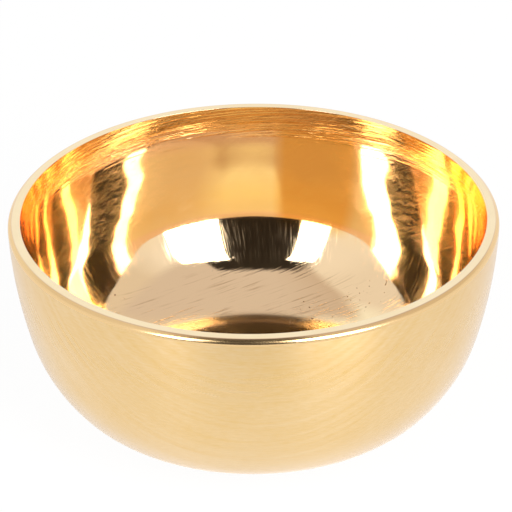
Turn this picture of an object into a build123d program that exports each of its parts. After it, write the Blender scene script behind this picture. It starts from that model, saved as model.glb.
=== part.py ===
"""A small offering bowl, cast in brass, turned and polished in one piece.

The bowl stands on the XY plane with its axis on Z. Everything on it is a turned form, so the whole bowl
is one section in the XZ plane, swept once round the axis. A slope below is the angle between the section's
line and the horizontal, in degrees: 0 on a level floor, 90 on an upright wall.
"""

import os
from math import cos, radians, sin, tan

from build123d import *

# Overall sizes
rim_diameter = 100.0
height = 45.5

# Rim: a level land on top, with a narrow bevel round its outer edge
rim_land = 1.6
bevel_width = 0.95
bevel_drop = 0.55

# Outside, from the base up: a level base, a domed underside, a rounded heel, a belly and a steep wall
base_edge_slope = 4.0
underside_radius = 39.0
heel_start_slope = 33.0
heel_radius = 16.0
belly_start_slope = 51.4
belly_radius = 32.4
wall_start_slope = 75.7
wall_draw_in = 3.15

# Inside, from the rim down: an upright band, the wall, a corner that is tightest in its middle, and a
# dished floor. The eases are how many times rounder the corner is above and below its tight middle.
rim_band = 5.0
belly_wall = 2.35
corner_rise = 2.75
corner_start_slope = 76.5
upper_ease = 1.87
tight_start_slope = 52.4
tight_end_slope = 28.3
lower_ease = 2.2
floor_edge_slope = 8.2
floor_thickness = 2.6


def climb(point, radius, slope_from, slope_to):
    """The end of an arc that starts at a point and steepens outwards from one slope to another."""
    run = radius * (sin(radians(slope_to)) - sin(radians(slope_from)))
    rise = radius * (cos(radians(slope_from)) - cos(radians(slope_to)))
    return (point[0] + run, point[1] + rise)


def heading(slope):
    """The direction that climbs outwards at a slope."""
    return (cos(radians(slope)), sin(radians(slope)))


def inward(point, slope, distance):
    """The point at a distance into the bowl, square to a line of the given slope."""
    return (point[0] - distance * sin(radians(slope)), point[1] + distance * cos(radians(slope)))


# Outside: radii are counted in from the rim, and heights up from the base
rim_radius = rim_diameter / 2
underside_run, underside_rise = climb((0.0, 0.0), underside_radius, base_edge_slope, heel_start_slope)
heel_run, heel_rise = climb((0.0, 0.0), heel_radius, heel_start_slope, belly_start_slope)
belly_run, belly_rise = climb((0.0, 0.0), belly_radius, belly_start_slope, wall_start_slope)
base_radius = rim_radius - wall_draw_in - belly_run - heel_run - underside_run
base_edge = (base_radius, 0.0)
heel_start = (base_radius + underside_run, underside_rise)
belly_start = (heel_start[0] + heel_run, heel_start[1] + heel_rise)
wall_start = (belly_start[0] + belly_run, belly_start[1] + belly_rise)
outside_edge = (rim_radius, height - bevel_drop)

# Rim: the mouth is what the bevel and the land leave open
mouth_radius = rim_radius - bevel_width - rim_land
land_outer_edge = (rim_radius - bevel_width, height)
mouth_edge = (mouth_radius, height)
band_foot = (mouth_radius, height - rim_band)

# Inside: the corner starts a little above the foot of the outside wall and a belly wall in from it. Its
# three arcs keep their proportions, and are as round as the floor leaves them room for. The dished floor is
# part of a ball centred on the axis, so it sinks by its edge radius times the dish.
corner_level = (wall_start[0] + corner_rise / tan(radians(wall_start_slope)), wall_start[1] + corner_rise)
corner_start = inward(corner_level, wall_start_slope, belly_wall)
dish = tan(radians(floor_edge_slope / 2))
unit_tight_end = climb((0.0, 0.0), lower_ease, floor_edge_slope, tight_end_slope)
unit_tight_start = climb(unit_tight_end, 1.0, tight_end_slope, tight_start_slope)
unit_run, unit_rise = climb(unit_tight_start, upper_ease, tight_start_slope, corner_start_slope)
corner_depth = corner_start[1] - floor_thickness - corner_start[0] * dish
corner_radius = corner_depth / (unit_rise - unit_run * dish)
floor_edge = (corner_start[0] - corner_radius * unit_run, corner_start[1] - corner_radius * unit_rise)
tight_end = climb(floor_edge, lower_ease * corner_radius, floor_edge_slope, tight_end_slope)
tight_start = climb(tight_end, corner_radius, tight_end_slope, tight_start_slope)
floor_centre = (0.0, floor_thickness)

# Bowl: the section as one closed line, then one turn round the axis
with BuildPart() as bowl:
    with BuildSketch(Plane.XZ):
        with BuildLine():
            Line((0.0, 0.0), base_edge)
            TangentArc(base_edge, heel_start, tangent=heading(base_edge_slope))
            TangentArc(heel_start, belly_start, tangent=heading(heel_start_slope))
            TangentArc(belly_start, wall_start, tangent=heading(belly_start_slope))
            TangentArc(wall_start, outside_edge, tangent=heading(wall_start_slope))
            Polyline(outside_edge, land_outer_edge, mouth_edge, band_foot)
            TangentArc(corner_start, band_foot, tangent=heading(corner_start_slope))
            TangentArc(tight_start, corner_start, tangent=heading(tight_start_slope))
            TangentArc(tight_end, tight_start, tangent=heading(tight_end_slope))
            TangentArc(floor_edge, tight_end, tangent=heading(floor_edge_slope))
            TangentArc(floor_centre, floor_edge, tangent=heading(0.0))
            Line(floor_centre, (0.0, 0.0))
        make_face()
    revolve(axis=Axis.Z)

bowl.part.label = "bowl"

os.makedirs("parts", exist_ok=True)
export_step(bowl.part, "parts/bowl.step")

print(f"base {2 * base_radius:.2f} mm across, mouth {2 * mouth_radius:.2f} mm across")
print(f"inside corner radius {corner_radius:.2f} mm, floor edge {2 * floor_edge[0]:.2f} mm across")
print(f"volume {bowl.part.volume / 1000:.2f} cm3")
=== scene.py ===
# %% [markdown]
# # A turned brass bowl
# The bowl is one piece of brass: cast, turned on a lathe, polished to a mirror inside and brushed to a
# satin outside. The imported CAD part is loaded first, because it fixes where the bowl stands and how large
# it is. Everything made below stands in that same frame, in metres, with the bowl's axis on Z and its base
# on the floor at height zero.

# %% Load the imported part
from math import atan2, ceil, cos, exp, hypot, pi, radians, sin, tan

import bmesh
import bpy
from mathutils import Matrix, Vector, noise


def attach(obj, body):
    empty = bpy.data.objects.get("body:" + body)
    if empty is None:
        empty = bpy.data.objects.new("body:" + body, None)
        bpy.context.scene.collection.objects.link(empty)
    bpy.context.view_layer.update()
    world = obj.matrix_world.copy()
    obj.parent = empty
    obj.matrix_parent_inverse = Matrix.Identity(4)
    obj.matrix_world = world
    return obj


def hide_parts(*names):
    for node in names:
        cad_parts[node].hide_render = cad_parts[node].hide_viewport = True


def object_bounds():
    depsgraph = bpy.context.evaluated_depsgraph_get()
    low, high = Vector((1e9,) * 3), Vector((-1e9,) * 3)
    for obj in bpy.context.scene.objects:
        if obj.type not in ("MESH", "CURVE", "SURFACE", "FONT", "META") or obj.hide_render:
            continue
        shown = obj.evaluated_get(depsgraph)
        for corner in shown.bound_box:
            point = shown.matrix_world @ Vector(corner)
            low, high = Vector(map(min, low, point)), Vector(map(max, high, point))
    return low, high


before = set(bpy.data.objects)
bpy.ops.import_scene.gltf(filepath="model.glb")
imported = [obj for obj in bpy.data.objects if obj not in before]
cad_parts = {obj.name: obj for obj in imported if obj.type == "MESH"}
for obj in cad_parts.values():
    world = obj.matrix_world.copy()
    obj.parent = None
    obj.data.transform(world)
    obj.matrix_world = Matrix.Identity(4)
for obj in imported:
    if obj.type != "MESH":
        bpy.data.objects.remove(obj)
cad_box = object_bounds()
MM = 0.001
low, high = cad_box
rim_diameter = round((high.x - low.x) / MM, 1)
height = round((high.z - low.z) / MM, 1)
print(f"CAD bowl: {rim_diameter} mm across the rim, {height} mm high")

# %% [markdown]
# ## The section
# A turned bowl is one line, swept round the axis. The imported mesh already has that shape, but it is cut
# into flat facets, and a mirror shows every facet. The line could be read off that mesh, or drawn as a
# Bezier curve. Here it is built from the same arcs that the turner's tool follows, each leaving the last
# one at the same slope, because then the points can be spaced as closely as the mirror needs. A slope is
# the angle to the level, in degrees, and the lengths of the section are in millimetres.

# %% Arcs that join smoothly
point_spacing = 0.55


def climb(start, radius, slope_from, slope_to):
    """The end of an arc that starts at a point and steepens outwards from one slope to another."""
    run = radius * (sin(radians(slope_to)) - sin(radians(slope_from)))
    rise = radius * (cos(radians(slope_from)) - cos(radians(slope_to)))
    return (start[0] + run, start[1] + rise)


def straight(start, end):
    """Points along a straight stretch of the section, both ends included."""
    count = max(2, ceil(hypot(end[0] - start[0], end[1] - start[1]) / point_spacing))
    shares = [i / count for i in range(count + 1)]
    return [(start[0] + s * (end[0] - start[0]), start[1] + s * (end[1] - start[1])) for s in shares]


def curved(start, end, slope):
    """Points along the arc that leaves the start outwards at a slope and ends at the end."""
    chord = hypot(end[0] - start[0], end[1] - start[1])
    half_turn = atan2(end[1] - start[1], end[0] - start[0]) - radians(slope)
    radius = chord / (2 * sin(half_turn))
    count = max(2, ceil(2 * half_turn * radius / point_spacing))
    points = []
    for i in range(count + 1):
        along = radians(slope) + 2 * half_turn * i / count
        run = radius * (sin(along) - sin(radians(slope)))
        rise = radius * (cos(radians(slope)) - cos(along))
        points.append((start[0] + run, start[1] + rise))
    return points


print(f"arcs: a point at least every {point_spacing} mm")

# %% The outside, from the base up to the rim
base_edge_slope = 4.0
underside_radius = 39.0
heel_start_slope = 33.0
heel_radius = 16.0
belly_start_slope = 51.4
belly_radius = 32.4
wall_start_slope = 75.7
wall_draw_in = 3.15
bevel_drop = 0.70

rim_radius = rim_diameter / 2
underside_run, underside_rise = climb((0.0, 0.0), underside_radius, base_edge_slope, heel_start_slope)
heel_run, heel_rise = climb((0.0, 0.0), heel_radius, heel_start_slope, belly_start_slope)
belly_run, belly_rise = climb((0.0, 0.0), belly_radius, belly_start_slope, wall_start_slope)
base_radius = rim_radius - wall_draw_in - belly_run - heel_run - underside_run
base_edge = (base_radius, 0.0)
heel_start = (base_radius + underside_run, underside_rise)
belly_start = (heel_start[0] + heel_run, heel_start[1] + heel_rise)
wall_start = (belly_start[0] + belly_run, belly_start[1] + belly_rise)
outside_edge = (rim_radius, height - bevel_drop)

base_line = straight((0.0, 0.0), base_edge)
outside_line = curved(base_edge, heel_start, base_edge_slope)
outside_line += curved(heel_start, belly_start, heel_start_slope)[1:]
outside_line += curved(belly_start, wall_start, belly_start_slope)[1:]
outside_line += curved(wall_start, outside_edge, wall_start_slope)[1:]
print(f"outside: {len(outside_line)} points from a base {2 * base_radius:.1f} mm across")

# %% The rim
rim_land = 1.73
bevel_width = 0.82
rim_band = 5.0

mouth_radius = rim_radius - bevel_width - rim_land
land_outer_edge = (rim_radius - bevel_width, height)
mouth_edge = (mouth_radius, height)
band_foot = (mouth_radius, height - rim_band)
bevel_line = straight(outside_edge, land_outer_edge)
land_line = straight(land_outer_edge, mouth_edge)
band_line = straight(mouth_edge, band_foot)
print(f"rim: mouth {2 * mouth_radius:.1f} mm across, inside a land of {rim_land} mm and a bevel")

# %% The inside, from the rim down to the floor
belly_wall = 2.35
corner_rise = 2.75
corner_start_slope = 76.5
upper_ease = 1.87
tight_start_slope = 52.4
tight_end_slope = 28.3
lower_ease = 2.2
floor_edge_slope = 8.2
floor_thickness = 2.6

wall_lean = radians(wall_start_slope)
corner_level = (wall_start[0] + corner_rise / tan(wall_lean), wall_start[1] + corner_rise)
corner_inset = (belly_wall * sin(wall_lean), belly_wall * cos(wall_lean))
corner_start = (corner_level[0] - corner_inset[0], corner_level[1] + corner_inset[1])
dish = tan(radians(floor_edge_slope / 2))
unit_end = climb((0.0, 0.0), lower_ease, floor_edge_slope, tight_end_slope)
unit_start = climb(unit_end, 1.0, tight_end_slope, tight_start_slope)
unit_run, unit_rise = climb(unit_start, upper_ease, tight_start_slope, corner_start_slope)
above_dish = corner_start[1] - floor_thickness - corner_start[0] * dish
corner_radius = above_dish / (unit_rise - unit_run * dish)
floor_edge = (corner_start[0] - corner_radius * unit_run, corner_start[1] - corner_radius * unit_rise)
tight_end = climb(floor_edge, lower_ease * corner_radius, floor_edge_slope, tight_end_slope)
tight_start = climb(tight_end, corner_radius, tight_end_slope, tight_start_slope)
floor_centre = (0.0, floor_thickness)

inside_line = curved(corner_start, band_foot, corner_start_slope)[::-1]
inside_line += curved(tight_start, corner_start, tight_start_slope)[::-1][1:]
inside_line += curved(tight_end, tight_start, tight_end_slope)[::-1][1:]
inside_line += curved(floor_edge, tight_end, floor_edge_slope)[::-1][1:]
inside_line += curved(floor_centre, floor_edge, 0.0)[::-1][1:]
drawn_line = list(inside_line)
print(f"inside: {len(inside_line)} points, corner radius {corner_radius:.1f} mm at its tightest")

# %% [markdown]
# ## Ripples of the lathe
# The true inside is not quite the drawn line. Where the turner set the tool anew it swells or sinks by a
# few hundredths of a millimetre, all the way round. Nobody feels that, but the mirror bends its
# reflections into the S-shaped stripes of the photograph. A bump texture can't do this, because it has no
# slow, even slope, so the line itself is moved.

# %% Move the inside line by its ripples
def ripple(level, half_width, depth):
    """How deep into the metal one ripple goes, as a rule that takes the level of a point."""
    return lambda point_level: depth * exp(-((point_level - level) / half_width) ** 2)


ripples = [
    ripple(level=34.2, half_width=3.8, depth=-0.05),
    ripple(level=23.8, half_width=2.9, depth=-0.02),
    ripple(level=19.7, half_width=2.2, depth=0.06),
    ripple(level=12.5, half_width=3.9, depth=0.07),
    ripple(level=7.2, half_width=1.6, depth=0.04),
]

rippled = [inside_line[0]]
for before, here, after in zip(inside_line, inside_line[1:], inside_line[2:]):
    depth = sum(deepen(here[1]) for deepen in ripples)
    outward = Vector((before[1] - after[1], after[0] - before[0])).normalized() * depth
    rippled.append((here[0] + outward.x, here[1] + outward.y))
inside_line = rippled + [inside_line[-1]]
most = max((Vector(drawn) - Vector(true)).length for drawn, true in zip(drawn_line, inside_line))
print(f"inside line: {len(ripples)} ripples, up to {most:.3f} mm off the drawn line")

# %% [markdown]
# ## Softened edges
# No turned edge is truly sharp: polishing rounds it by some tenths of a millimetre, and that thin curve is
# what catches the light along the rim. A Bevel modifier could round the finished mesh. Rounding the section
# itself is simpler, because each corner of the line becomes a whole edge of the bowl, with evenly laid
# points and no extra faces.

# %% Join the lines with softened corners
corner_points = 6


def softened(before, after, reach):
    """Two lines that meet, cut back by a reach, with the small curve that joins them."""
    corner = after[0]
    kept_before = [p for p in before if hypot(p[0] - corner[0], p[1] - corner[1]) > reach]
    kept_after = [p for p in after if hypot(p[0] - corner[0], p[1] - corner[1]) > reach]
    one = Vector(corner) + (Vector(before[-2]) - Vector(corner)).normalized() * reach
    two = Vector(corner) + (Vector(after[1]) - Vector(corner)).normalized() * reach
    curve = []
    for i in range(corner_points + 1):
        share = i / corner_points
        point = one * (1 - share) ** 2 + Vector(corner) * 2 * share * (1 - share) + two * share ** 2
        curve.append((point.x, point.y))
    return kept_before, curve, kept_after


base_reach = 0.4
shoulder_reach = 0.52
crest_reach = 0.12
mouth_reach = 0.08
foot_reach = 0.7
base_line, base_curve, outside_line = softened(base_line, outside_line, base_reach)
outside_line, shoulder_curve, bevel_line = softened(outside_line, bevel_line, shoulder_reach)
bevel_line, crest_curve, land_line = softened(bevel_line, land_line, crest_reach)
land_line, mouth_curve, band_line = softened(land_line, band_line, mouth_reach)
band_line, foot_curve, inside_line = softened(band_line, inside_line, foot_reach)
section = []
for finish, stretch in (
    ("base", base_line + base_curve),
    ("outside", outside_line),
    ("rim", shoulder_curve + bevel_line + crest_curve + land_line + mouth_curve),
    ("inside", band_line + foot_curve + inside_line),
):
    section += [(radius, level, finish) for radius, level in stretch]
print(f"section: {len(section)} points")

# %% [markdown]
# ## Turning the section
# A Screw modifier or a Spin would sweep the line too. Writing the rings out in bmesh gives two things more.
# Each ring knows which finish it belongs to, and each point can be moved a few thousandths of a millimetre.
# That matters inside: the last polish is done by hand, so the wall is very slightly wavy, and a mirror
# turns this into the flowing edges of its reflections.

# %% The waves that hand polishing leaves
wave_depth = 0.006
wave_around = 17.0
wave_upright = 11.0
small_wave_share = 0.4
small_waves_per_wave = 2.3
calm_floor = 9.0


def hand_waves(point):
    """How far hand polishing left a point of the inside off the true surface, in millimetres."""
    slow = Vector((point.x / wave_around, point.y / wave_around, point.z / wave_upright))
    calm = min(1.0, max(0.0, (point.z - calm_floor) / calm_floor))
    small = small_wave_share * noise.noise(slow * small_waves_per_wave)
    return wave_depth * calm * (noise.noise(slow) + small)


print(f"hand polishing: waves of about {wave_depth} mm on the wall, none on the floor")

# %% Sweep the section round the axis
points_around = 384
finish_order = ["base", "outside", "rim", "inside"]

turned = bmesh.new()
rings = []
for radius, level, finish in section:
    if radius < MM:
        rings.append([turned.verts.new((0.0, 0.0, level * MM))])
        continue
    ring = []
    for i in range(points_around):
        angle = 2 * pi * i / points_around
        outward = Vector((cos(angle), sin(angle), 0.0))
        point = outward * radius + Vector((0.0, 0.0, level))
        if finish == "inside":
            point -= outward * hand_waves(point)
        ring.append(turned.verts.new(point * MM))
    rings.append(ring)
for one, two, point in zip(rings, rings[1:], section[1:]):
    for i in range(points_around):
        j = (i + 1) % points_around
        corners = [one[i % len(one)], one[j % len(one)], two[j % len(two)], two[i % len(two)]]
        face = turned.faces.new(list(dict.fromkeys(corners)))
        face.smooth = True
        face.material_index = finish_order.index(point[2])
bmesh.ops.recalc_face_normals(turned, faces=turned.faces)
bowl_mesh = bpy.data.meshes.new("bowl_turned")
turned.to_mesh(bowl_mesh)
turned.free()
bowl = bpy.data.objects.new("bowl_turned", bowl_mesh)
bpy.context.scene.collection.objects.link(bowl)
print(f"turned bowl: {len(bowl_mesh.vertices)} points, {len(bowl_mesh.polygons)} faces")

# %% Stand it in for the CAD node
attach(bowl, "root")
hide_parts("bowl")
cad_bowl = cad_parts["bowl"]
cad_points = [cad_bowl.matrix_world @ v.co for v in cad_bowl.data.vertices]
off = max((bowl.closest_point_on_mesh(point)[1] - point).length for point in cad_points)
print(f"largest distance from a CAD point to the turned bowl: {off / MM:.3f} mm")

# %% [markdown]
# ## Brass
# Brass is a metal all through, so the shader is fully metallic and its base colour is the colour of its
# reflections. What tells one part of the bowl from another is the finish: how fine the scratches are and
# which way they run. They could be drawn as an image, but a noise that is drawn out along one direction
# gives the same lines at any size, needs no unwrapping and has no seam. The helpers below make such noises
# and turn them into colour, gloss and relief. Lengths stay in millimetres. Where a pair of numbers names a
# border, the first is where the change starts and the second where it is complete.

# %% A metal, and sums of values
def brass(name):
    """A new metal material, with its node tree and its shader."""
    material = bpy.data.materials.new(name)
    material.use_nodes = True
    shader = material.node_tree.nodes["Principled BSDF"]
    shader.inputs["Metallic"].default_value = 1.0
    bowl_mesh.materials.append(material)
    return material.node_tree, shader


def together(tree, one, two, how="ADD"):
    """Two values added, or joined by another sum."""
    made = tree.nodes.new("ShaderNodeMath")
    made.operation = how
    for socket, value in zip(made.inputs, (one, two)):
        if isinstance(value, float):
            socket.default_value = value
        else:
            tree.links.new(value, socket)
    return made.outputs["Value"]


def all_of(tree, value, *others):
    """Several values multiplied, so that the result is large only where all of them are."""
    for other in others:
        value = together(tree, value, other, "MULTIPLY")
    return value


def spread(tree, value, from_low, from_high, to_low=0.0, to_high=1.0):
    """A value taken from one range to another, and held at its ends."""
    made = tree.nodes.new("ShaderNodeMapRange")
    tree.links.new(value, made.inputs["Value"])
    ends = {"From Min": from_low, "From Max": from_high, "To Min": to_low, "To Max": to_high}
    for socket, number in ends.items():
        made.inputs[socket].default_value = number
    return made.outputs["Result"]


print("helpers: metal, sums and ranges")

# %% Blends and relief
def blended(tree, share, one, two):
    """One colour going over into another."""
    made = tree.nodes.new("ShaderNodeMix")
    made.data_type = "RGBA"
    tree.links.new(share, made.inputs["Factor"])
    first_colour, second_colour, result = made.inputs[6], made.inputs[7], made.outputs[2]
    for socket, colour in ((first_colour, one), (second_colour, two)):
        if isinstance(colour, tuple):
            socket.default_value = (*colour, 1.0)
        else:
            tree.links.new(colour, socket)
    return result


def relief(tree, depth, value, under=None):
    """Bumps of a depth in millimetres, on top of earlier ones."""
    made = tree.nodes.new("ShaderNodeBump")
    made.inputs["Strength"].default_value = 1.0
    made.inputs["Distance"].default_value = depth * MM
    tree.links.new(value, made.inputs["Height"])
    if under is not None:
        tree.links.new(under, made.inputs["Normal"])
    return made.outputs["Normal"]


print("helpers: blended colours and relief")

# %% Where a point is
def round_axis(tree, place, centre=(0.0, 0.0)):
    """A place's angle round an upright axis, its distance from the axis and its height."""
    shifted = tree.nodes.new("ShaderNodeVectorMath")
    shifted.operation = "SUBTRACT"
    shifted.inputs[1].default_value = (centre[0] * MM, centre[1] * MM, 0.0)
    tree.links.new(place, shifted.inputs[0])
    parts = tree.nodes.new("ShaderNodeSeparateXYZ")
    tree.links.new(shifted.outputs["Vector"], parts.inputs["Vector"])
    right, back, up = parts.outputs
    squares = [all_of(tree, side, side) for side in (right, back)]
    from_axis = together(tree, together(tree, *squares), 0.5, "POWER")
    return together(tree, right, back, "ARCTAN2"), from_axis, up


def in_millimetres(tree, length):
    """A length in metres, given in millimetres."""
    return all_of(tree, length, 1 / MM)


def laid_flat(tree, along, across):
    """A flat place from one value along it and one across it."""
    made = tree.nodes.new("ShaderNodeCombineXYZ")
    tree.links.new(along, made.inputs["X"])
    tree.links.new(across, made.inputs["Y"])
    return made.outputs["Vector"]


def standing(tree):
    """A point's place on the bowl, the same rolled out flat round the axis, and its level."""
    place = tree.nodes.new("ShaderNodeTexCoord").outputs["Object"]
    around, from_axis, height_above = round_axis(tree, place)
    along = all_of(tree, around, mouth_radius * MM)
    flat = laid_flat(tree, along, together(tree, height_above, from_axis))
    return place, flat, in_millimetres(tree, height_above)


print("helpers: places, rolled out flat too")

# %% Grain that is drawn out along a direction
most_of_noise = (0.3, 0.7)


def grain(tree, place, size, turn=0.0, lean=0.0, detail=2.0):
    """A noise from 0 to 1 with grains of a size in mm, turned about z and leaned about x by degrees."""
    mapping = tree.nodes.new("ShaderNodeMapping")
    mapping.vector_type = "TEXTURE"
    mapping.inputs["Rotation"].default_value = (radians(lean), 0.0, radians(turn))
    mapping.inputs["Scale"].default_value = [s * MM for s in size]
    texture = tree.nodes.new("ShaderNodeTexNoise")
    texture.inputs["Scale"].default_value = 1.0
    texture.inputs["Detail"].default_value = detail
    tree.links.new(place, mapping.inputs["Vector"])
    tree.links.new(mapping.outputs["Vector"], texture.inputs["Vector"])
    return texture.outputs["Fac"]


print(f"grain: most of its values lie between {most_of_noise[0]} and {most_of_noise[1]}")

# %% [markdown]
# ## The satin outside, and the base
# Outside, the bowl was left brushed. The lines hang from the rim in nested arcs, level in front and steep
# at the sides, as if a wheel had been held to it at a slant, and the back is brushed like the front. From
# where the photograph was taken they are about as thin as a pixel, so they could be left out and the metal
# just made rough. They are kept as a faint change of colour, gloss and relief, because they are what the
# eye takes for brushed metal. The shader is anisotropic, which means that it scatters light further up and
# down than sideways. That draws each lamp out into the soft pale column under the rim. A little sheen
# stands for the fine fuzz of scratches, which turns the sides pale where they are seen edge on.

# %% Places for the brushing, the same at the front and the back
side_turn = 12.0


def folded(tree, place):
    """A place with the bowl's back folded onto its front, with a soft turn at the sides."""
    parts = tree.nodes.new("ShaderNodeSeparateXYZ")
    tree.links.new(place, parts.inputs["Vector"])
    right, back, up = parts.outputs
    squares = together(tree, all_of(tree, back, back), (side_turn * MM) ** 2)
    made = tree.nodes.new("ShaderNodeCombineXYZ")
    for value, socket in zip((right, together(tree, squares, 0.5, "POWER"), up), made.inputs):
        tree.links.new(value, socket)
    return made.outputs["Vector"]


print(f"brushing: turns round within about {side_turn} mm of the sides")

# %% Brushed outside and base
deep_satin = (0.83, 0.555, 0.215)
light_satin = (0.895, 0.66, 0.365)
brush_line = (26.0, 50.0, 0.62)
wheel_slant = -61.0
fleck = (1.8, 0.42, 1.0)
satin_patch = (14.0, 14.0, 9.0)
line_tint = 0.36
fleck_tint = 0.40
patch_tint = 0.24
brush_depth = 0.0014
coarser_above = (22.0, 42.0)
fine_brushing = 0.225
coarse_brushing = 0.30
uneven_brushing = 0.015
up_and_down = 0.25
light_drawn_out = 0.90
sheen_grey = (0.84, 0.84, 0.92)
sheen_weight = 0.56
sheen_roughness = 0.34


def satin(name):
    """Brushed brass, coarser towards the rim."""
    tree, shader = brass(name)
    place, flat, level = standing(tree)
    lines = grain(tree, folded(tree, place), brush_line, lean=wheel_slant, detail=1.0)
    flecks = grain(tree, flat, fleck)
    patches = grain(tree, place, satin_patch)
    lighter = spread(tree, lines, *most_of_noise, 0.0, line_tint)
    lighter = together(tree, lighter, spread(tree, flecks, *most_of_noise, 0.0, fleck_tint))
    lighter = together(tree, lighter, spread(tree, patches, *most_of_noise, 0.0, patch_tint))
    tree.links.new(blended(tree, lighter, deep_satin, light_satin), shader.inputs["Base Color"])
    rough = spread(tree, level, *coarser_above, fine_brushing, coarse_brushing)
    uneven = spread(tree, lines, *most_of_noise, -uneven_brushing, uneven_brushing)
    tree.links.new(together(tree, rough, uneven), shader.inputs["Roughness"])
    tree.links.new(relief(tree, brush_depth, lines), shader.inputs["Normal"])
    shader.inputs["Anisotropic"].default_value = light_drawn_out
    shader.inputs["Anisotropic Rotation"].default_value = up_and_down
    shader.inputs["Sheen Weight"].default_value = sheen_weight
    shader.inputs["Sheen Roughness"].default_value = sheen_roughness
    shader.inputs["Sheen Tint"].default_value = (*sheen_grey, 1.0)
    print(f"{name}: brushed lines {brush_depth} mm deep")


satin("base_satin")
satin("outside_satin")

# %% [markdown]
# ## The polished rim
# Hands and cloths have worn the rim smooth and pale. It could share the outside's material, but it has a
# finer polish, with only a few level scratches. The bevel below the level land is touched less, so it is
# more golden and not quite as smooth.

# %% Polished rim
worn_brass = (0.82, 0.595, 0.40)
rim_brass = (0.77, 0.535, 0.33)
bevel_brass = (0.86, 0.60, 0.30)
rim_scratch = (14.0, 14.0, 0.3)
rim_scratch_depth = 0.002
rim_patch = (6.0, 6.0, 6.0)
land_border = (height - 0.15, height - 0.05)
scratched = (0.4, 0.75)
rim_roughness = (0.06, 0.12)
bevel_roughness = 0.11

tree, shader = brass("rim_polish")
place, _, level = standing(tree)
rim_scratches = grain(tree, place, rim_scratch, detail=3.0)
land_colour = blended(tree, grain(tree, place, rim_patch), worn_brass, rim_brass)
on_land = spread(tree, level, *land_border)
tree.links.new(blended(tree, on_land, bevel_brass, land_colour), shader.inputs["Base Color"])
rough = spread(tree, rim_scratches, *scratched, *rim_roughness)
rough = together(tree, rough, spread(tree, on_land, 0.0, 1.0, bevel_roughness, 0.0))
tree.links.new(rough, shader.inputs["Roughness"])
tree.links.new(relief(tree, rim_scratch_depth, rim_scratches), shader.inputs["Normal"])
print("rim_polish: worn pale on the land, golden on the bevel")

# %% [markdown]
# ## The mirror inside
# Inside, the bowl is polished until it mirrors itself, and the gold of its wall is the wall's own colour
# reflected several times over. What keeps it from looking like glass are the traces of polishing. They
# differ from zone to zone: a band under the rim that was scoured nearly level, mostly on its far side, a
# wall with crossing hairlines that is paler at its top and tarnished in one place at the back, a worn and
# paler floor with long rubbing marks where it turns up, and a few pits of the casting. One material with
# soft borders between the zones is closer to the real thing than several, because a polishing cloth
# doesn't stop at a line.

# %% Zones of the inside
scour_line = (22.0, 0.45, 1.0)
scour_turn = 3.0
ragged_edge = 2.2
band_border = (38.6, 41.6)
floor_border = (24.0, 15.0)
scouring_hand = (0.0, -40.0)
far_side = (70.0, 81.0)
least_scoured = 0.1

tree, shader = brass("inside_mirror")
place, flat, level = standing(tree)
scour_lines = grain(tree, flat, scour_line, turn=scour_turn, detail=3.0)
ragged = together(tree, level, spread(tree, scour_lines, *most_of_noise, -ragged_edge, ragged_edge))
in_band = spread(tree, ragged, *band_border)
on_floor = spread(tree, level, *floor_border)
_, from_front, _ = round_axis(tree, place, scouring_hand)
from_front = in_millimetres(tree, from_front)
scoured = all_of(tree, in_band, spread(tree, from_front, *far_side, least_scoured, 1.0))
print(f"inside zones: band above {band_border[0]} mm, worn floor and corner below {floor_border[0]} mm")

# %% Brass of the wall, the floor and the band
wall_brass = (0.945, 0.67, 0.34)
upper_brass = (0.945, 0.635, 0.40)
floor_brass = (0.95, 0.71, 0.44)
band_brass = (0.90, 0.56, 0.22)
tarnish_brass = (0.945, 0.53, 0.145)
cloud = (9.0, 9.0, 9.0)
cloudy = (0.35, 0.75)
cloud_tint = 0.22
upper_border = (35.5, 38.5)
tarnish_centre = (14.5, 45.0)
tarnish_border = (10.5, 7.5)
tarnish_foot = (17.0, 20.0)

clouds = grain(tree, place, cloud, detail=3.0)
paler = together(tree, on_floor, spread(tree, clouds, *cloudy, 0.0, cloud_tint))
colour = blended(tree, spread(tree, paler, 0.0, 1.0), wall_brass, floor_brass)
colour = blended(tree, spread(tree, level, *upper_border), colour, upper_brass)
_, from_tarnish, _ = round_axis(tree, place, tarnish_centre)
tarnished = spread(tree, in_millimetres(tree, from_tarnish), *tarnish_border)
tarnished = all_of(tree, tarnished, spread(tree, level, *tarnish_foot))
colour = blended(tree, tarnished, colour, tarnish_brass)
colour = blended(tree, scoured, colour, band_brass)
print("inside colour: deep on the wall, paler on the floor, tarnished at the back")

# %% Rubbing marks, which swing round the hand that wiped
wiping_centre = (28.0, -43.0)
wiping_reach = 60.0
rub_line = (8.0, 0.42, 1.0)
rub_seen = (0.54, 0.66)
rub_group = (9.0, 9.0, 9.0)
group_seen = (0.44, 0.62)
least_grouped = 0.05
rubbed_top = (12.0, 10.0)
rubbed_foot = (4.6, 6.6)
rub_brown = (0.46, 0.29, 0.14)
rub_tint = 0.55

swing, from_hand, _ = round_axis(tree, place, wiping_centre)
wiping = laid_flat(tree, all_of(tree, swing, wiping_reach * MM), from_hand)
rubbing = grain(tree, wiping, rub_line, detail=4.0)
groups = spread(tree, grain(tree, place, rub_group), *group_seen, least_grouped, 1.0)
rubbed = all_of(tree, spread(tree, level, *rubbed_top), spread(tree, level, *rubbed_foot))
rubs = all_of(tree, spread(tree, rubbing, *rub_seen), groups, rubbed)
colour = blended(tree, all_of(tree, rubs, rub_tint), colour, rub_brown)
print(f"rubbing marks: where the floor turns up, between {rubbed_foot[0]} and {rubbed_top[0]} mm")

# %% Pits of the casting
pit = (0.7, 0.7, 0.7)
pit_seen = (0.77, 0.82)
flaw = (7.0, 7.0, 7.0)
flaw_seen = (0.60, 0.66)
pits_below = (14.0, 12.0)
pit_brown = (0.20, 0.11, 0.04)

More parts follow.
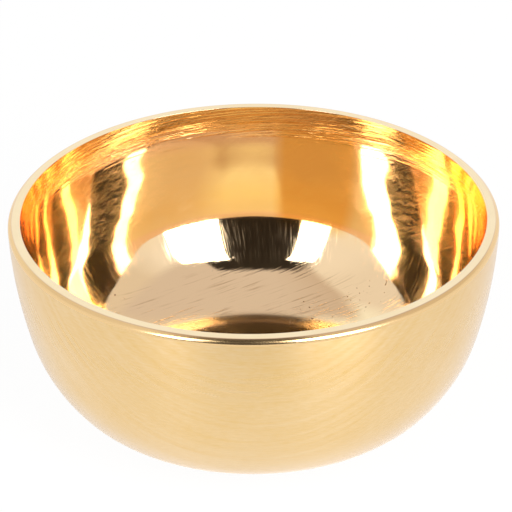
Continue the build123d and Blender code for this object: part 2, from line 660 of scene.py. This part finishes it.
flawed = spread(tree, grain(tree, place, flaw, detail=0.0), *flaw_seen)
pits = spread(tree, grain(tree, place, pit, detail=0.0), *pit_seen)
pits = all_of(tree, pits, flawed, spread(tree, level, *pits_below))
tree.links.new(blended(tree, pits, colour, pit_brown), shader.inputs["Base Color"])
print(f"pits: {pit[0]} mm and smaller, below {pits_below[0]} mm")

# %% Gloss of the inside
hairline = (6.0, 0.05, 1.0)
hairline_turns = (36.0, -4.0)
hairline_seen = (0.58, 0.66)
hairlines_above = (18.0, 24.0)
hairline_roughness = 0.23
upright_line = (0.20, 9.0, 1.0)
upright_turn = 6.0
upright_seen = (0.52, 0.68)
upright_roughness = 0.14
corner_foot = (9.0, 13.0)
corner_top = (23.0, 18.0)
scour_seen = (0.35, 0.70)
scour_roughness = 0.06
mirror_above = (5.0, 8.0)
mirror_roughness = 0.04
worn_roughness = 0.09
rub_roughness = 0.10

slants = [spread(tree, grain(tree, flat, hairline, turn=t), *hairline_seen) for t in hairline_turns]
slants = together(tree, *slants, "MAXIMUM")
slants = all_of(tree, slants, spread(tree, level, *hairlines_above, 0.0, hairline_roughness))
at_corner = all_of(tree, spread(tree, level, *corner_foot), spread(tree, level, *corner_top))
uprights = grain(tree, flat, upright_line, turn=upright_turn)
uprights = all_of(tree, spread(tree, uprights, *upright_seen, 0.0, upright_roughness), at_corner)
scouring = all_of(tree, scoured, spread(tree, scour_lines, *scour_seen, 0.0, scour_roughness))
rough = together(tree, together(tree, slants, uprights, "MAXIMUM"), scouring)
rough = together(tree, rough, spread(tree, level, *mirror_above, worn_roughness, mirror_roughness))
rough = together(tree, rough, all_of(tree, rubs, rub_roughness))
tree.links.new(together(tree, rough, pits, "MAXIMUM"), shader.inputs["Roughness"])
print(f"inside gloss: mirror of roughness {mirror_roughness}, with hairlines")

# %% Relief of the inside
scour_depth = 0.060
level_line = (18.0, 0.30, 1.0)
level_turn = -2.0
level_depth = 0.0010
floor_rim_foot = (9.0, 10.0)
floor_rim_top = (13.0, 11.5)
back_half = (52.0, 64.0)
floor_rim_depth = 0.022
rub_depth = 0.009

raised = relief(tree, scour_depth, all_of(tree, scoured, scour_lines))
raised = relief(tree, level_depth, grain(tree, flat, level_line, turn=level_turn), raised)
floor_rim = all_of(tree, spread(tree, level, *floor_rim_foot), spread(tree, level, *floor_rim_top))
floor_rim = all_of(tree, floor_rim, spread(tree, from_front, *back_half))
raised = relief(tree, floor_rim_depth, all_of(tree, floor_rim, rubbing), raised)
tree.links.new(relief(tree, rub_depth, rubs, raised), shader.inputs["Normal"])
print(f"inside relief: {scour_depth} mm in the scoured band, {rub_depth} mm in the rubbing marks")

# %% [markdown]
# ## The studio
# A polished bowl is a picture of the room around it, so the room is part of its look. A photograph of a
# room could light it, but it would bring its own reflections along. Here the room is plain: a white floor,
# white surroundings with a brighter backdrop, a greyer ceiling and a dimmer right side, and two upright
# softboxes, one on each side of the camera. The gap between them is closed by a dark screen, which gives
# the mirror its deep tones. The screen and the softboxes are hidden from the camera, so that they never
# stand in the way when the bowl is seen from another side.

# %% White floor that keeps the shadow
floor_size = 8.0
floor_glow = 0.94
glow_strength = 1.012
paper_tone = (0.9, 0.9, 0.9)


def seen(tree):
    """1 for rays from the camera and for rays that gloss or glass sends on, and 0 for the rest."""
    path = tree.nodes.new("ShaderNodeLightPath")
    direct = together(tree, path.outputs["Is Camera Ray"], path.outputs["Is Glossy Ray"], "MAXIMUM")
    return together(tree, direct, path.outputs["Is Transmission Ray"], "MAXIMUM")


def sheet(name, corners):
    """A flat sheet for the studio from its four corners, with its mesh."""
    mesh = bpy.data.meshes.new(name)
    mesh.from_pydata(corners, [], [(0, 1, 2, 3)])
    made = bpy.data.objects.new(name, mesh)
    bpy.context.scene.collection.objects.link(made)
    return made, mesh


edge = floor_size / 2
floor_corners = [(-edge, -edge, 0.0), (edge, -edge, 0.0), (edge, edge, 0.0), (-edge, edge, 0.0)]
floor, floor_mesh = sheet("floor", floor_corners)
paper = bpy.data.materials.new("white_paper")
paper.use_nodes = True
tree = paper.node_tree
tree.nodes.clear()
matt = tree.nodes.new("ShaderNodeBsdfDiffuse")
matt.inputs["Color"].default_value = (*paper_tone, 1.0)
glow = tree.nodes.new("ShaderNodeEmission")
glow.inputs["Strength"].default_value = glow_strength
both = tree.nodes.new("ShaderNodeMixShader")
surface = tree.nodes.new("ShaderNodeOutputMaterial")
tree.links.new(all_of(tree, seen(tree), floor_glow), both.inputs["Fac"])
tree.links.new(matt.outputs["BSDF"], both.inputs[1])
tree.links.new(glow.outputs["Emission"], both.inputs[2])
tree.links.new(both.outputs["Shader"], surface.inputs["Surface"])
floor_mesh.materials.append(paper)
print(f"floor: {floor_size} m square")

# %% Directions in the room
world = bpy.data.worlds.new("white_room")
bpy.context.scene.world = world
world.use_nodes = True
tree = world.node_tree
background = tree.nodes["Background"]
direction = tree.nodes.new("ShaderNodeTexCoord")
split = tree.nodes.new("ShaderNodeSeparateXYZ")
tree.links.new(direction.outputs["Generated"], split.inputs["Vector"])
aside, away, up = split.outputs
level_way = tree.nodes.new("ShaderNodeVectorMath")
level_way.operation = "NORMALIZE"
tree.links.new(laid_flat(tree, aside, away), level_way.inputs[0])
bearings = tree.nodes.new("ShaderNodeSeparateXYZ")
tree.links.new(level_way.outputs["Vector"], bearings.inputs["Vector"])
to_right, to_back, _ = bearings.outputs
print("room: directions to the right, to the back and up")

# %% White surroundings with a lit backdrop and a dimmer right side
white_paper = (1.0, 1.0, 1.0)
lit_backdrop = (1.18, 1.36, 1.36)
front_tone = (0.95, 0.94, 0.93)
left_tone = (0.88, 0.86, 0.84)
right_tone = (0.80, 0.75, 0.69)
right_border = (-0.3, 0.3)
backdrop_right = (0.50, 0.40)
backdrop_left = (-0.90, -0.45)
backdrop_front = (0.0, 0.4)
front_border = (-0.2, -0.5)
walls_above = (0.26, 0.46)

walls = blended(tree, spread(tree, to_right, *right_border), left_tone, right_tone)
lit = all_of(tree, spread(tree, to_right, *backdrop_right), spread(tree, to_right, *backdrop_left))
lit = all_of(tree, lit, spread(tree, to_back, *backdrop_front))
walls = blended(tree, lit, walls, lit_backdrop)
walls = blended(tree, spread(tree, to_back, *front_border), walls, front_tone)
tone = blended(tree, spread(tree, up, *walls_above), white_paper, walls)
print("surroundings: white, brighter at the back, dimmer to the right")

# %% The ceiling, which ends above the left side, the right side and the backdrop
ceiling_tone = (0.73, 0.68, 0.67)
ceiling_edge = (0.65, 0.57, 0.52)
ceiling_above = (0.35, 0.55)
room_light = 0.45


def beyond(way, slant, soft):
    """0 where a direction leans less along a way than a slant times its height, and 1 beyond it."""
    return spread(tree, together(tree, way, all_of(tree, up, -slant)), -soft, soft)


def within(way, slant, soft):
    """1 where a direction leans less along a way than a slant times its height, and 0 beyond it."""
    return spread(tree, beyond(way, slant, soft), 1.0, 0.0)


from_left = beyond(aside, slant=-0.48, soft=0.05)
not_back = within(away, slant=0.62, soft=0.10)
not_right = within(aside, slant=0.95, soft=0.12)
to_ceiling = all_of(tree, from_left, not_back, not_right, spread(tree, up, *ceiling_above))
ceiling = blended(tree, beyond(aside, slant=-0.30, soft=0.18), ceiling_edge, ceiling_tone)
tree.links.new(blended(tree, to_ceiling, tone, ceiling), background.inputs["Color"])
tree.links.new(spread(tree, seen(tree), 0.0, 1.0, room_light, 1.0), background.inputs["Strength"])
print("ceiling: grey, a little darker towards its left edge")

# %% Two softboxes
softbox_bottom = 0.28


def softbox(name, left_foot, right_foot, top, brightness):
    """An upright area lamp over a line on the floor, which shines towards the back of the room."""
    left, right = Vector((*left_foot, 0.0)), Vector((*right_foot, 0.0))
    lamp = bpy.data.lights.new(name, "AREA")
    lamp.shape = "RECTANGLE"
    lamp.size = (right - left).length
    lamp.size_y = top - softbox_bottom
    lamp.energy = brightness * pi * lamp.size * lamp.size_y
    across = (right - left).normalized()
    upward = Vector((0.0, 0.0, 1.0))
    middle = (left + right) / 2 + upward * (top + softbox_bottom) / 2
    turn = Matrix((across, upward, across.cross(upward))).transposed().to_4x4()
    box = bpy.data.objects.new(name, lamp)
    box.matrix_world = Matrix.Translation(middle) @ turn
    box.visible_camera = False
    bpy.context.scene.collection.objects.link(box)
    print(f"{name}: {lamp.size:.2f} by {lamp.size_y:.2f} m")


softbox("right_softbox", left_foot=(0.335, -0.93), right_foot=(1.10, -0.87), top=1.42, brightness=9.5)
softbox("left_softbox", left_foot=(-0.80, -0.83), right_foot=(-0.44, -0.868), top=1.38, brightness=7.5)

# %% The dark screen between them
screen_left = -1.25
screen_right = 1.0
screen_top = 4.0
screen_back = -1.3
screen_tone = (0.030, 0.020, 0.012)
mirror_bounces = 12

screen, screen_mesh = sheet("dark_screen", [
    (screen_left, screen_back, 0.0),
    (screen_right, screen_back, 0.0),
    (screen_right, screen_back, screen_top),
    (screen_left, screen_back, screen_top),
])
cloth = bpy.data.materials.new("dark_cloth")
cloth.use_nodes = True
cloth_shader = cloth.node_tree.nodes["Principled BSDF"]
cloth_shader.inputs["Base Color"].default_value = (*screen_tone, 1.0)
cloth_shader.inputs["Roughness"].default_value = 1.0
screen_mesh.materials.append(cloth)
screen.visible_camera = False
screen.visible_diffuse = False
screen.visible_shadow = False
screen.visible_transmission = False
bpy.context.scene.cycles.glossy_bounces = mirror_bounces
print(f"dark screen: {screen_right - screen_left:.2f} m wide, mirrored up to {mirror_bounces} times")

# %% [markdown]
# ## The camera
# The photograph was taken from about half a metre away, a little under 30 degrees above the rim, with a
# long lens, and the bowl sits a hair to the left of the middle with its right side a touch higher. The
# picture is 512 pixels square. A camera could be aimed by eye. Here its place comes from the measured rim,
# because the stripes in the mirror move with every degree.

# %% Camera at the photograph's place
picture = 512.0
distance = 0.498
elevation = 28.92
tilt = 29.973
sharp_length = 2443.2
axis_pixel = 253.85
roll = 0.5
sensor = 36.0

lens = bpy.data.cameras.new("camera")
lens.sensor_width = sensor
lens.lens = sharp_length / picture * sensor
camera = bpy.data.objects.new("camera", lens)
camera_aside = (picture / 2 - axis_pixel) / sharp_length * distance
camera_front = -distance * cos(radians(elevation))
camera_height = height * MM + distance * sin(radians(elevation))
look = Matrix.Rotation(radians(90 - tilt), 4, "X") @ Matrix.Rotation(radians(-roll), 4, "Z")
camera.matrix_world = Matrix.Translation((camera_aside, camera_front, camera_height)) @ look
bpy.context.scene.collection.objects.link(camera)
bpy.context.scene.camera = camera
bpy.context.scene.view_settings.view_transform = "Standard"
print(f"camera: {lens.lens:.1f} mm lens, {distance} m from the middle of the rim")
